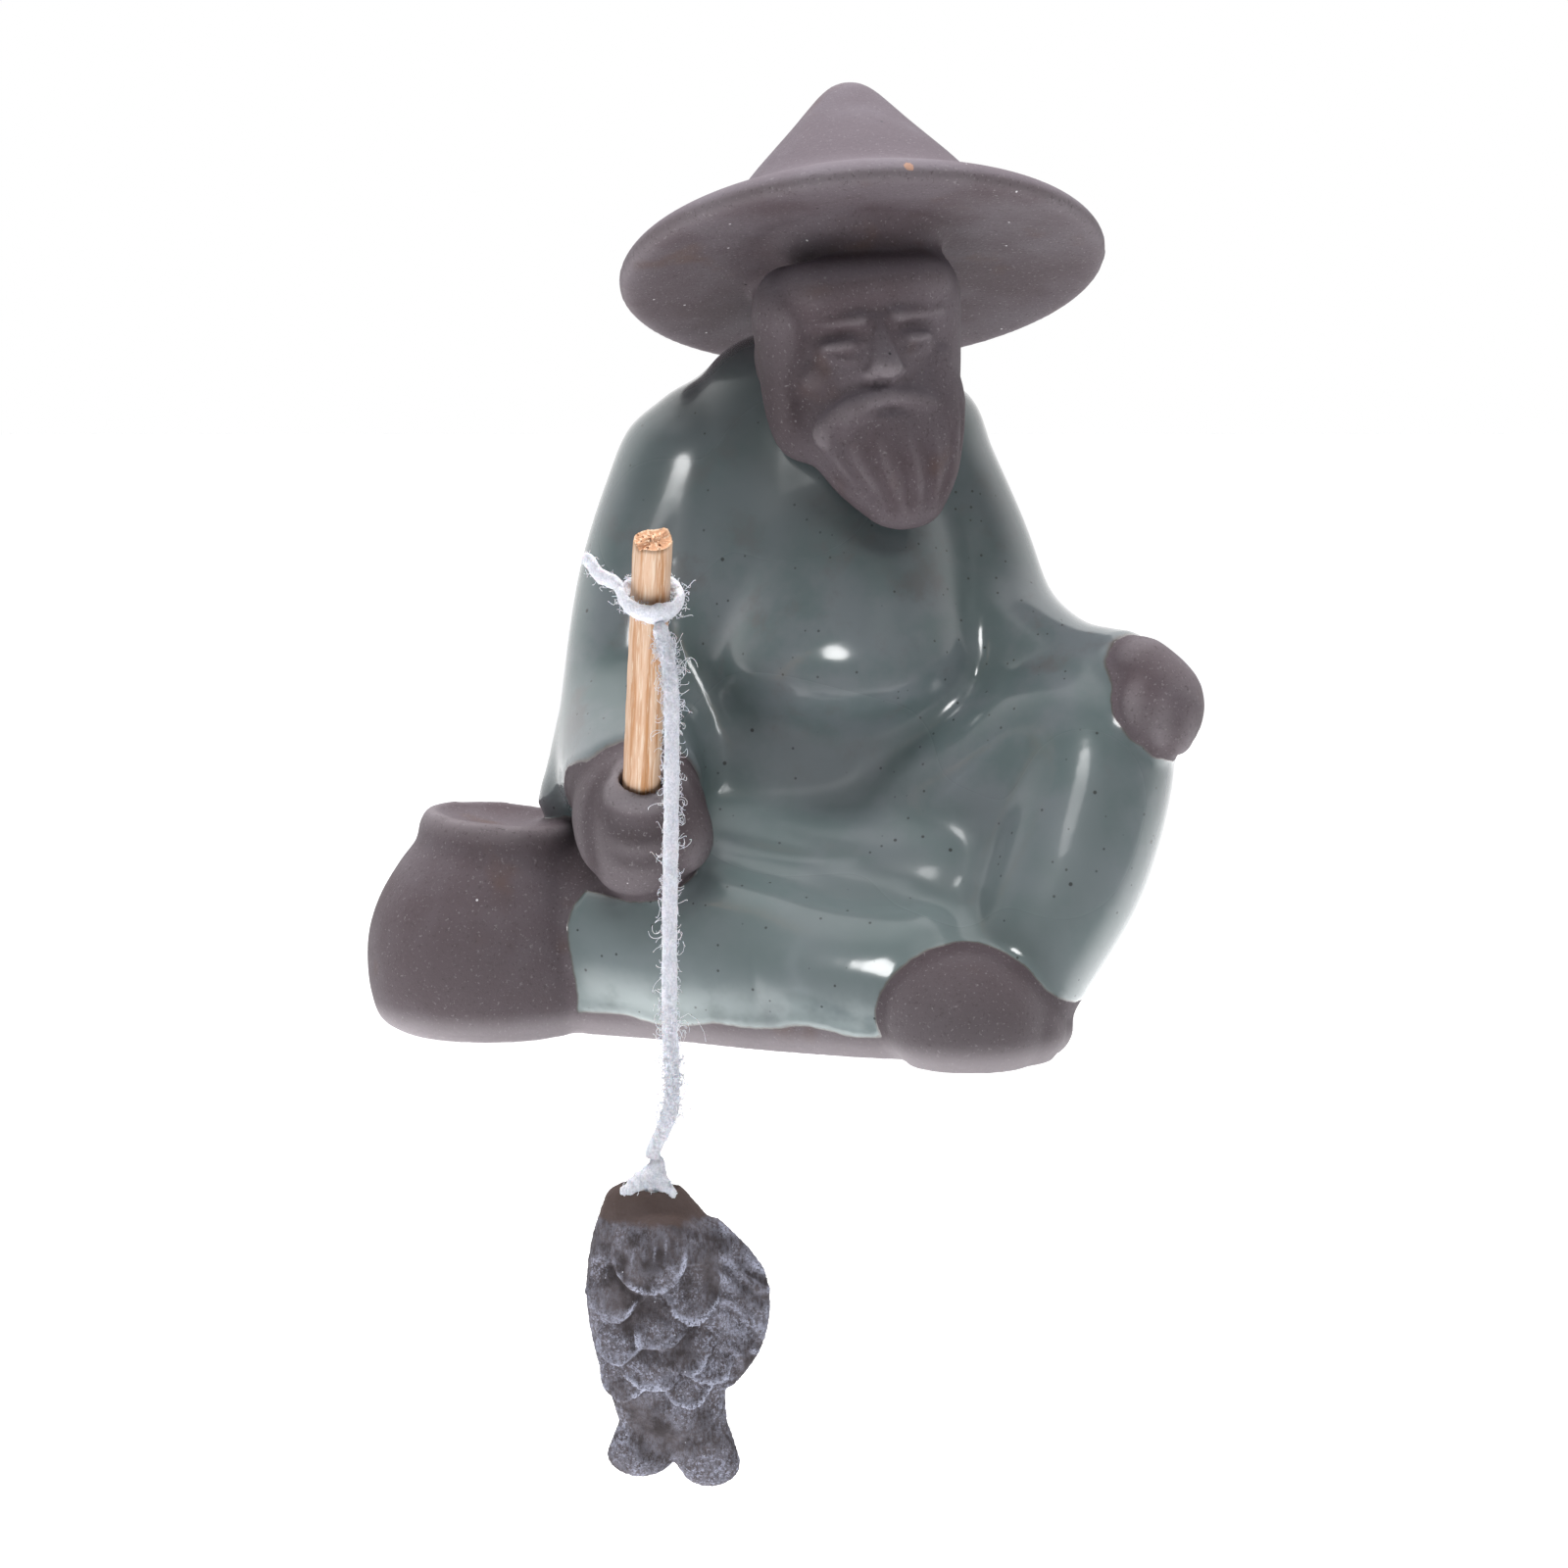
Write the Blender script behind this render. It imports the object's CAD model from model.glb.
"""Looks of a seated stoneware fisherman with a bamboo rod, a yarn line and a clay fish.

The clay is modelled here at a finer grain than the solids, on the same axes and seats.
Forms are laid out in millimetres, and each mesh is turned into metres when it is finished.
X runs to the viewer's right, Y to the back, Z up.
"""

import math

import bmesh
import bpy
import numpy as np
from mathutils import Matrix, Vector
from mathutils.bvhtree import BVHTree


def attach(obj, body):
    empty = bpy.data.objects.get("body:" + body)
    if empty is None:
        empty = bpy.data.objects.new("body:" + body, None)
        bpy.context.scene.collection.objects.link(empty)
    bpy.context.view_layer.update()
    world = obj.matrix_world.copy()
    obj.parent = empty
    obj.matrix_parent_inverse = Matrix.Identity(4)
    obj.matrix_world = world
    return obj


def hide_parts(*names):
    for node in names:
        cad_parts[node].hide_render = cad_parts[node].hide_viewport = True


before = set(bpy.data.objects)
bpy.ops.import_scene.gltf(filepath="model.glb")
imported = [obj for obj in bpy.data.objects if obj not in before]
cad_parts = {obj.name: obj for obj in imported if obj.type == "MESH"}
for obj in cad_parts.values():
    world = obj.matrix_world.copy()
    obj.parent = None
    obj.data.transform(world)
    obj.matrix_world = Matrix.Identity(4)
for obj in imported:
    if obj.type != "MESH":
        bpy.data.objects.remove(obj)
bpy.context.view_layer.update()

MM = 0.001
chance = np.random.default_rng(11)

# Camera
AIM = Vector((0.0, -8.0, 18.9))
CAMERA_DISTANCE = 330.0
CAMERA_RISE = math.radians(9.0)
PICTURE = 1600
FOCUS = 4488.0  # in pixels of the picture
SENSOR = 36.0

VIEW = Vector((0.0, math.cos(CAMERA_RISE), -math.sin(CAMERA_RISE)))
VIEW_UP = Vector((0.0, math.sin(CAMERA_RISE), math.cos(CAMERA_RISE)))
EYE = AIM - VIEW * CAMERA_DISTANCE

# Clay
BODY_GRAIN = 0.35
HEAD_GRAIN = 0.28
FISH_GRAIN = 0.15
GLAZE_THICKNESS = 0.13
BARE_FOOT = 1.9  # height of the unglazed band along the base

# Hat and head
HAT_CENTRE = Vector((5.9, 1.8, 57.3))
HAT_RADIUS = 18.5
HAT_HEIGHT = 14.7
HAT_LEAN_BACK = 24.6
HAT_ROLL = -4.5
BRIM_THICKNESS = 1.8
CROWN_RADIUS = 9.6
HEAD_CENTRE = Vector((5.2, -2.2, 51.0))
HEAD_RADII = (7.5, 8.0, 6.4)
HEAD_TURN = 15.0
HEAD_ROLL = 6.0

# Creel and fist
CREEL_FOOT = Vector((-22.9, -4.4, -0.6))
CREEL_RADIUS = 9.4
CREEL_HEIGHT = 16.8
CREEL_MOUTH_RADIUS = 5.8
CREEL_DISH = 0.9
CREEL_LEAN = 5.0
FIST_CENTRE = Vector((-10.7, -12.4, 17.0))
FIST_RADII = (5.1, 5.0, 5.9)

# Rod, loop and line
ROD_ROOT = Vector((-10.496, -15.7, 19.183))
ROD_DIRECTION = Vector((0.056337, -0.585079, 0.809017))
ROD_RADIUS = 1.4
ROD_REACH = 25.4
ROD_SOCKET_DEPTH = 7.0
ROD_CUT = 9.0
FIT_GAP = 0.3
LOOP_FROM_TIP = 5.3
LOOP_THICKNESS = 0.7
LOOP_WIDTH = 1.3
LOOP_PITCH = 0.9
LOOP_TURNS = 0.92
LOOP_TURNS_TO_LINE = 0.25
LOOP_RADIUS = ROD_RADIUS + FIT_GAP + LOOP_THICKNESS / 2
TAIL_LENGTH = 4.3
LINE_DIAMETER = 1.1
LINE_ASIDE = 0.7
LINE_ROUTE = (  # from the loop down to the fish: across, and down
    (0.0, 0.0), (0.3, -1.2), (0.62, -2.8), (0.8, -5.5), (0.76, -12.0), (0.62, -20.0), (0.56, -28.0),
    (0.74, -31.6), (0.66, -34.0), (0.1, -35.9), (-0.5, -37.1), (-0.7, -38.0),
)
KNOT_RADII = Vector((1.9, 1.35, 1.35))
KNOT_SEAT = 0.55

# Fish
FISH_LENGTH = 22.0
FISH_WIDTH = 13.0
FISH_THICKNESS = 6.2


# Studio


def placed(name, data):
    """A new object in the scene."""
    made = bpy.data.objects.new(name, data)
    bpy.context.scene.collection.objects.link(made)
    return made


def camera():
    made = placed("camera", bpy.data.cameras.new("camera"))
    made.location = EYE * MM
    made.rotation_mode = "QUATERNION"
    made.rotation_quaternion = VIEW.to_track_quat("-Z", "Y")
    made.data.sensor_width = SENSOR
    made.data.lens = FOCUS / PICTURE * SENSOR
    made.data.clip_start = 0.01
    bpy.context.scene.camera = made


def sight(across, down):
    """The direction from the eye through a pixel of the picture."""
    half = PICTURE / 2
    side = Vector((1, 0, 0)) * ((across - half) / FOCUS)
    return (VIEW + side - VIEW_UP * ((down - half) / FOCUS)).normalized()


class Wire:
    """A value in a node tree. Arithmetic on it adds Math nodes."""

    def __init__(self, paint, socket):
        self.paint = paint
        self.socket = socket

    def math(self, operation, *values):
        return self.paint.node("ShaderNodeMath", {"operation": operation}, dict(enumerate(values)))

    def __add__(self, other):
        return self.math("ADD", self, other)

    __radd__ = __add__

    def __sub__(self, other):
        return self.math("SUBTRACT", self, other)

    def __rsub__(self, other):
        return self.math("SUBTRACT", other, self)

    def __mul__(self, other):
        return self.math("MULTIPLY", self, other)

    __rmul__ = __mul__

    def __gt__(self, other):
        return self.math("GREATER_THAN", self, other)

    def most(self, other):
        return self.math("MAXIMUM", self, other)

    def rise(self, low, high):
        """0 below low, 1 above high, and a soft step between; low may be the larger."""
        return self.paint.node("ShaderNodeMapRange", {"interpolation_type": "SMOOTHSTEP"}, {
            "Value": self, "From Min": low, "From Max": high, "To Min": 0.0, "To Max": 1.0,
        })


class Paint:
    """A node tree under construction, with the few nodes that the finishes need."""

    def __init__(self, tree):
        self.tree = tree

    def node(self, kind, settings=None, inputs=None, output=0):
        made = self.tree.nodes.new(kind)
        for key, value in (settings or {}).items():
            setattr(made, key, value)
        for key, value in (inputs or {}).items():
            if isinstance(value, Wire):
                self.tree.links.new(value.socket, made.inputs[key])
            else:
                made.inputs[key].default_value = value
        return Wire(self, made.outputs[output])

    def place(self, stretch=(1, 1, 1)):
        """Where a point lies on its piece, in millimetres."""
        here = self.node("ShaderNodeTexCoord", output="Object")
        scale = tuple(s / MM for s in stretch)
        return self.node("ShaderNodeVectorMath", {"operation": "MULTIPLY"}, {0: here, 1: scale})

    def along(self, axis, place):
        return self.node("ShaderNodeSeparateXYZ", inputs={0: place}, output=axis)

    def written(self, name):
        """A number that was stored on the mesh's points."""
        return self.node("ShaderNodeAttribute", {"attribute_name": name}, output="Fac")

    def cloud(self, place, size, detail=3.0, roughness=0.55):
        """Noise around one half, whose blotches are about size across."""
        return self.node("ShaderNodeTexNoise", inputs={
            "Vector": place, "Scale": 1 / size, "Detail": detail, "Roughness": roughness,
        })

    def specks(self, place, spacing, radius, share):
        """Round dots, of which only that share of the cells holds one."""
        settings = {"Vector": place, "Scale": 1 / spacing}
        near = self.node("ShaderNodeTexVoronoi", inputs=settings)
        lot = self.node("ShaderNodeTexVoronoi", inputs=settings, output="Color")
        drawn = self.node("ShaderNodeSeparateColor", inputs={0: lot})
        size = radius / spacing
        return (drawn > 1 - share) * near.rise(size, size * 0.6)

    def mix(self, first, second, share):
        """The first colour turning into the second; a colour is a Wire or three numbers."""
        first, second = (c if isinstance(c, Wire) else (*c, 1) for c in (first, second))
        return self.node("ShaderNodeMix", {"data_type": "RGBA"}, {0: share, 6: first, 7: second}, output=2)

    def coats(self, colour, *layers):
        """Colours laid over one another, each given with its share."""
        for over, share in layers:
            colour = self.mix(colour, over, share)
        return colour

    def bump(self, height, depth):
        """A normal from a height of 0 to 1, depth millimetres deep."""
        return self.node("ShaderNodeBump", inputs={"Height": height, "Distance": depth * MM, "Strength": 1.0})


def finish_of(name, **sockets):
    """A material, with the uniform values of its shader set, and its paint."""
    made = bpy.data.materials.new(name)
    made.use_nodes = True
    shader = made.node_tree.nodes["Principled BSDF"]
    for key, value in sockets.items():
        shader.inputs[key.replace("_", " ")].default_value = value
    return made, Paint(made.node_tree), shader


def dress(paint, shader, **wires):
    """Links wires to the shader's sockets."""
    for key, wire in wires.items():
        paint.tree.links.new(wire.socket, shader.inputs[key.replace("_", " ")])


FRONT_ROOM = 0.10  # what matt surfaces get from the room's dark side, where the camera stands
BACK_ROOM = 0.95
GLOSS_FRONT = 0.15  # what gloss sees on the dark side
LAMPS = (  # place, width, height, watts, and what sees it
    ((250, -400, 480), 170, 150, 0.95, "matt"),
    ((-40, 60, 620), 620, 500, 8.4, "matt"),
    ((-80, -50, -140), 260, 200, 0.38, "matt"),
    ((-90, -595, 310), 200, 240, 1.15, "gloss"),
)
FLOOR_GLOW = 0.50
FLOOR_HEIGHT = -150.0


def studio():
    """A white room with soft boxes, and a pale floor far below the shelf's edge."""
    scene = bpy.context.scene
    scene.view_settings.view_transform = "Standard"
    scene.world = bpy.data.worlds.new("room")
    scene.world.use_nodes = True
    paint = Paint(scene.world.node_tree)
    ray = {key: paint.node("ShaderNodeLightPath", output=key) for key in (
        "Is Camera Ray", "Is Glossy Ray", "Is Transmission Ray",
    )}
    toward = paint.node("ShaderNodeTexCoord", output="Generated")
    behind = paint.along("Y", toward).rise(-0.50, 0.45)
    overhead = paint.along("Z", toward).rise(0.72, 1.0) * 0.55
    gloss = overhead.most(GLOSS_FRONT + behind * (1 - GLOSS_FRONT))
    matt = FRONT_ROOM + behind * (BACK_ROOM - FRONT_ROOM)
    shown = ray["Is Camera Ray"].most(ray["Is Transmission Ray"])
    level = shown + (1 - shown) * (ray["Is Glossy Ray"] * gloss + (1 - ray["Is Glossy Ray"]) * matt)
    background = scene.world.node_tree.nodes["Background"]
    background.inputs["Color"].default_value = (1, 1, 1, 1)
    paint.tree.links.new(level.socket, background.inputs["Strength"])

    for k, (place, width, height, watts, seen_by) in enumerate(LAMPS):
        lamp = bpy.data.lights.new(f"soft_box_{k}", "AREA")
        lamp.shape = "ELLIPSE" if seen_by == "gloss" else "RECTANGLE"
        lamp.size, lamp.size_y = width * MM, height * MM
        lamp.energy = watts
        holder = placed(lamp.name, lamp)
        holder.location = Vector(place) * MM
        holder.rotation_mode = "QUATERNION"
        holder.rotation_quaternion = (AIM - Vector(place)).to_track_quat("-Z", "Y")
        holder.visible_diffuse = seen_by == "matt"
        holder.visible_glossy = seen_by == "gloss"

    bm = bmesh.new()
    bmesh.ops.create_grid(bm, x_segments=1, y_segments=1, size=2.5)
    mesh = mesh_of(bm, "floor")
    floor = placed("floor", mesh)
    floor.location.z = FLOOR_HEIGHT * MM
    pale, paint, shader = finish_of("pale_floor", Roughness=0.9, Emission_Strength=FLOOR_GLOW)
    in_front = paint.along("Y", paint.place()).rise(60.0, -220.0)
    dark = in_front * paint.node("ShaderNodeLightPath", output="Is Glossy Ray")
    dress(
        paint, shader,
        Base_Color=paint.mix((0.90, 0.90, 0.91), (0.12, 0.12, 0.13), dark),
        Emission_Color=paint.mix((1, 1, 1), (0.12, 0.12, 0.13), dark),
    )
    mesh.materials.append(pale)


# Tools for clay


def ball_points(centre, radii, turn=None, columns=20, rows=13):
    """Points spread over an ellipsoid."""
    points = []
    for row in range(rows + 1):
        polar = math.pi * row / rows
        for column in range(1 if row in (0, rows) else columns):
            a = 2 * math.pi * (column + 0.5 * (row % 2)) / columns
            p = Vector((
                math.sin(polar) * math.cos(a) * radii[0],
                math.sin(polar) * math.sin(a) * radii[1],
                math.cos(polar) * radii[2],
            ))
            points.append(Vector(centre) + (turn @ p if turn else p))
    return points


def hull_into(bm, points):
    """Adds the convex hull of the points as a closed shell."""
    corners = [bm.verts.new(p) for p in points]
    made = bmesh.ops.convex_hull(bm, input=corners)
    loose = [g for g in made["geom_interior"] + made["geom_unused"] if isinstance(g, bmesh.types.BMVert)]
    bmesh.ops.delete(bm, geom=[v for v in set(loose) if v.is_valid and not v.link_faces], context="VERTS")


def between(stations, t):
    """A smooth curve through stations of equal length, read at t from 0 to len - 1."""
    i = min(int(t), len(stations) - 2)
    f = t - i
    a, b, c, d = (stations[min(max(k, 0), len(stations) - 1)] for k in range(i - 1, i + 3))
    return [
        0.5 * (2 * q + (r - p) * f + (2 * p - 5 * q + 4 * r - s) * f * f + (3 * q - p - 3 * r + s) * f ** 3)
        for p, q, r, s in zip(a, b, c, d)
    ]


def roll_into(bm, stations, steps=5):
    """A limb through stations (x, y, z, radius) or (x, y, z, rx, ry, rz), as a chain of hulls."""
    stations = [(*s[:3], *(s[3:] if len(s) > 4 else [s[3]] * 3)) for s in stations]
    rings = [between(stations, k / steps) for k in range((len(stations) - 1) * steps + 1)]
    shells = [ball_points(r[:3], r[3:]) for r in rings]
    for first, second in zip(shells, shells[1:]):
        hull_into(bm, first + second)


def ball_into(bm, centre, radii, turn=None):
    hull_into(bm, ball_points(centre, radii, turn, columns=36, rows=22))


def lathe_into(bm, profile, place, steps=120):
    """Spins a smooth curve through a profile of (radius, height), from axis to axis, into a closed shell."""
    fine = [between(profile, k / 4) for k in range((len(profile) - 1) * 4 + 1)]
    rings = []
    for k, (radius, height) in enumerate(fine):
        if k in (0, len(fine) - 1):
            rings.append([bm.verts.new(place @ Vector((0, 0, height)))])
            continue
        ring = []
        for step in range(steps):
            angle = 2 * math.pi * step / steps
            spot = Vector((radius * math.cos(angle), radius * math.sin(angle), height))
            ring.append(bm.verts.new(place @ spot))
        rings.append(ring)
    for lower, upper in zip(rings, rings[1:]):
        for k in range(steps):
            n = (k + 1) % steps
            corners = [
                lower[k % len(lower)], lower[n % len(lower)],
                upper[n % len(upper)], upper[k % len(upper)],
            ]
            bm.faces.new(dict.fromkeys(corners))


def scaled(shares, radius, height):
    """A profile from shares of a radius and a height."""
    return [(radius * r, height * h) for r, h in shares]


def close_rings(bm, rings):
    """Closes a stack of rings into a shell."""
    for lower, upper in zip(rings, rings[1:]):
        for k in range(len(lower)):
            n = (k + 1) % len(lower)
            bm.faces.new((lower[k], lower[n], upper[n], upper[k]))
    bm.faces.new(reversed(rings[0]))
    bm.faces.new(rings[-1])
    bmesh.ops.recalc_face_normals(bm, faces=bm.faces)


def mesh_of(bm, name):
    mesh = bpy.data.meshes.new(name)
    bm.to_mesh(mesh)
    bm.free()
    return mesh


def evaluated(mesh, *modifiers):
    """The mesh after modifiers, each given as (type, settings)."""
    holder = placed("holder", mesh)
    for kind, settings in modifiers:
        modifier = holder.modifiers.new(kind.lower(), kind)
        for key, value in settings.items():
            setattr(modifier, key, value)
    graph = bpy.context.evaluated_depsgraph_get()
    made = bpy.data.meshes.new_from_object(holder.evaluated_get(graph))
    bpy.data.objects.remove(holder)
    return made


def smoothed(mesh, rounds, factor=0.5):
    return evaluated(mesh, ("SMOOTH", {"factor": factor, "iterations": rounds}))


def without(mesh, shape):
    """The mesh less the room that a closed shape takes up."""
    tool = placed("tool", shape)
    made = evaluated(mesh, ("BOOLEAN", {"operation": "DIFFERENCE", "solver": "MANIFOLD", "object": tool}))
    bpy.data.objects.remove(tool)
    return made


def merged(mesh, grain, softness):
    """The shells pressed into one skin, then smoothed; softness doesn't depend on the grain."""
    rounds = round(softness / grain ** 2)
    return evaluated(
        mesh,
        ("REMESH", {"mode": "VOXEL", "voxel_size": grain}),
        ("SMOOTH", {"factor": 0.5, "iterations": rounds}),
    )


def points_of(mesh):
    co = np.empty(len(mesh.vertices) * 3)
    mesh.vertices.foreach_get("co", co)
    return co.reshape(-1, 3)


def normals_of(mesh):
    out = np.empty(len(mesh.vertices) * 3)
    mesh.vertices.foreach_get("normal", out)
    return out.reshape(-1, 3)


def reshape(mesh, co):
    mesh.vertices.foreach_set("co", np.ascontiguousarray(co, dtype=np.float32).ravel())
    mesh.update()


def tree_of(mesh):
    return BVHTree.FromPolygons([v.co for v in mesh.vertices], [p.vertices for p in mesh.polygons])


def smooth_step(x, low, high):
    t = np.clip((x - low) / (high - low), 0, 1)
    return t * t * (3 - 2 * t)


def seen_at(across, down):
    """A line of sight through a pixel, for a stroke that is drawn on the picture."""
    return EYE, sight(across, down)


def place_at(tree, pixel):
    """The point of a form that a pixel of the picture shows."""
    return tree.ray_cast(*seen_at(*pixel))[0]


def facing(place):
    """Lines of sight onto a form's own front, for a stroke that is drawn in its own frame as (x, z)."""
    return lambda x, z: (place @ Vector((x, -60, z)), (place.to_3x3() @ Vector((0, 1, 0))))


def press(mesh, tree, drawn, width, depth, look=seen_at):
    """Presses a groove, or with a negative depth raises a fold, along a line drawn on what one looks at."""
    path, fades = [], []
    count = (len(drawn) - 1) * 20
    for k in range(count + 1):
        start, direction = look(*between([list(p) for p in drawn], k / 20))
        hit = tree.ray_cast(start, direction)[0]
        if hit:
            path.append(hit)
            fades.append(math.sin(math.pi * (k + 1) / (count + 2)) ** 0.6)
    if len(path) < 3:
        return
    path, fades = np.array(path), np.array(fades)
    for _ in range(40):
        path[1:-1] = (path[:-2] + 2 * path[1:-1] + path[2:]) / 4
    co = points_of(mesh)
    reach = 3 * width
    near = np.flatnonzero(((co > path.min(0) - reach) & (co < path.max(0) + reach)).all(1))
    gap = ((co[near, None, :] - path[None]) ** 2).sum(2)
    pick = gap.argmin(1)
    push = depth * fades[pick] * np.exp(-gap[np.arange(len(near)), pick] / width ** 2)
    co[near] -= normals_of(mesh)[near] * push[:, None]
    reshape(mesh, co)


def soften(mesh, centre, radius, rounds):
    """Rounds the hollows inside a ball, as a wet sponge would."""
    bm = bmesh.new()
    bm.from_mesh(mesh)
    for i in range(rounds):
        near = [v for v in bm.verts if (v.co - centre).length < radius * (1 - 0.3 * i / rounds)]
        bmesh.ops.smooth_vert(bm, verts=near, factor=0.5, use_axis_x=True, use_axis_y=True, use_axis_z=True)
    bm.to_mesh(mesh)
    bm.free()


def sponge(mesh, places):
    """Rounds the clay at pixels of the picture, each given with its reach and rounds."""
    tree = tree_of(mesh)
    for pixel, reach, rounds in places:
        soften(mesh, place_at(tree, pixel), reach, rounds)


def bell(co, centre, reach):
    """1 at the centre, and fading over that reach."""
    return np.exp(-((co - np.array(centre)) ** 2).sum(1) / reach ** 2)


def store(mesh, name, values):
    attribute = mesh.attributes.new(name, "FLOAT", "POINT")
    attribute.data.foreach_set("value", np.ascontiguousarray(values, dtype=np.float32))


def store_scorch(mesh, spots):
    """Stores where the fire darkened the clay: places and their reach."""
    co = points_of(mesh)
    store(mesh, "scorch", sum(np.exp(-(((co - np.array(at)) ** 2).sum(1) / r ** 2) ** 2) for at, r in spots))


def store_relief(mesh, rounds):
    """Stores how far each point stands above, or lies below, the form around it."""
    soft = smoothed(mesh, rounds)
    rise = ((points_of(mesh) - points_of(soft)) * normals_of(mesh)).sum(1)
    store(mesh, "relief", rise)
    bpy.data.meshes.remove(soft)


def piece(name, mesh, material, body, nodes):
    """Puts a finished mesh into the scene in metres, riding on its body."""
    mesh.transform(Matrix.Scale(MM, 4))
    mesh.name = name
    made = placed(name, mesh)
    mesh.materials.clear()
    mesh.materials.append(material)
    mesh.shade_smooth()
    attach(made, body)
    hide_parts(*nodes)
    return made


def frame_at(origin, axis, side=Vector((1, 0, 0))):
    """A frame whose Z lies along axis and whose X lies near side."""
    z = axis.normalized()
    x = (side - z * side.dot(z)).normalized()
    return Matrix.Translation(origin) @ Matrix((x, z.cross(x), z)).transposed().to_4x4()


LOOP_FRAME = frame_at(ROD_ROOT + ROD_DIRECTION * (ROD_REACH - LOOP_FROM_TIP), ROD_DIRECTION)
PIVOT = LOOP_FRAME @ Vector((0, -LOOP_RADIUS, 0))
LINE_START = PIVOT + Vector((LINE_ASIDE, 0, -LOOP_WIDTH / 2 - FIT_GAP))
LINE_END = LINE_START + Vector((LINE_ROUTE[-1][0], 0, LINE_ROUTE[-1][1]))
KNOT_CENTRE = LINE_END - Vector((0, 0, KNOT_RADII.z + FIT_GAP))
FISH_MOUTH = KNOT_CENTRE + Vector((0, 0, KNOT_RADII.z * (1 - 2 * KNOT_SEAT)))


# Robe, creel, hands and feet

ROBE = (
    (  # torso
        (1.0, 4.0, 7.5, 18.6, 12.0, 8.5), (2.3, 3.6, 20.0, 15.4, 11.3, 9.0),
        (2.6, 3.2, 33.0, 13.8, 9.8, 8.0), (2.4, 3.6, 42.5, 12.0, 8.0, 6.0),
        (2.4, 4.0, 48.0, 8.6, 6.6, 4.6),
    ),
    ((-6.0, 3.8, 43.6, 4.8), (2.6, 4.0, 45.6, 5.0), (10.8, 3.8, 44.0, 4.8)),  # shoulders
    (  # belly
        (4.4, 1.9, 39.2, 9.0, 7.4, 6.0), (4.7, -0.6, 33.8, 9.8, 7.8, 6.2),
        (4.8, -3.5, 27.8, 10.2, 8.2, 5.6),
    ),
    (  # arm that holds the rod
        (-7.6, 3.2, 41.6, 5.4), (-10.4, 1.6, 33.5, 5.3), (-11.4, -0.4, 25.0, 5.6),
        (-11.6, -5.4, 20.8, 5.5), (-11.2, -9.4, 19.2, 5.2),
    ),
    ((-13.2, -2.5, 21.5, 4.4), (-15.4, -3.6, 18.9, 2.8), (-17.2, -4.0, 16.9, 1.8)),  # sleeve end
    (  # arm that rests on the knee
        (10.4, 3.6, 43.0, 5.2), (13.8, 1.8, 36.0, 5.0), (16.2, -1.6, 30.0, 4.9),
        (20.8, -6.2, 27.2, 4.1), (25.0, -9.4, 27.4, 3.4),
    ),
    (  # raised leg
        (7.0, 0.5, 12.0, 9.5), (15.5, -4.2, 17.4, 8.4), (22.6, -8.8, 22.4, 6.5),
        (21.2, -12.0, 14.0, 6.2), (17.6, -13.6, 6.0, 5.2), (16.4, -14.0, 1.5, 4.2),
    ),
    (  # folded leg
        (-5.0, 3.0, 9.5, 9.5), (-13.2, -3.6, 7.4, 7.2), (-9.0, -7.6, 7.2, 6.8),
        (0.0, -10.8, 6.6, 6.6), (9.0, -14.2, 5.6, 6.0),
    ),
    ((2.0, -12.3, 6.8, 6.4, 5.6, 5.7), (3.6, -13.0, 6.6, 5.6, 5.4, 5.5)),  # shin above the ankle
    (  # hem
        (-14.0, -4.4, 3.0, 6.4, 6.4, 5.0), (-7.0, -6.8, 3.0, 6.4, 6.4, 5.0),
        (0.0, -10.4, 3.0, 6.2, 6.2, 5.0), (6.0, -12.8, 3.0, 6.0, 6.0, 4.8),
        (11.0, -14.4, 3.0, 5.4, 5.8, 4.6),
    ),
    (  # underside
        (-9.0, 2.6, 3.2, 11.0, 11.5, 5.4), (2.0, 0.6, 3.2, 12.0, 13.5, 5.4),
        (11.0, -3.4, 3.2, 10.5, 13.5, 5.4),
    ),
    (  # lap
        (-4.0, -3.0, 11.6, 9.5, 7.6, 6.6), (4.0, -4.8, 11.0, 10.5, 8.2, 7.0),
        (12.0, -6.4, 11.0, 9.0, 8.0, 7.4),
    ),
)

KNEE_FINGERS = (  # three laid fingers, from the back of the hand down
    ((26.5, -12.4, 27.4, 1.7), (25.9, -14.0, 25.6, 1.6), (26.1, -14.2, 24.4, 1.4)),
    ((27.7, -12.4, 26.8, 1.8), (27.3, -14.1, 24.8, 1.7), (27.4, -14.1, 23.6, 1.4)),
    ((29.0, -12.0, 26.2, 1.7), (28.9, -13.5, 24.4, 1.6), (28.8, -13.4, 23.2, 1.4)),
)

FOLDS = (  # line on the picture, width, depth
    (((694, 655), (718, 692), (738, 745)), 1.0, 0.3),  # inside of the sleeve
    (((1062, 762), (1042, 800), (1020, 850), (995, 900)), 2.2, 0.3),  # inside of the raised leg
    (((770, 992), (830, 996), (905, 1018)), 3.2, -0.8),  # shin bone
    (((724, 838), (740, 858), (790, 870), (850, 876), (878, 872)), 0.7, 0.2),  # lap folds
    (((785, 840), (817, 857), (878, 872)), 0.6, 0.14),
    (((742, 886), (790, 896), (852, 914), (919, 921), (966, 917)), 1.1, 0.32),
)
ROUNDED = (  # where a wet sponge went over the clay: place on the picture, reach, rounds
    ((822, 742), 5.0, 30),
    ((880, 748), 5.5, 30),
    ((938, 734), 5.0, 30),
    ((722, 760), 4.0, 25),
)
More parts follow.
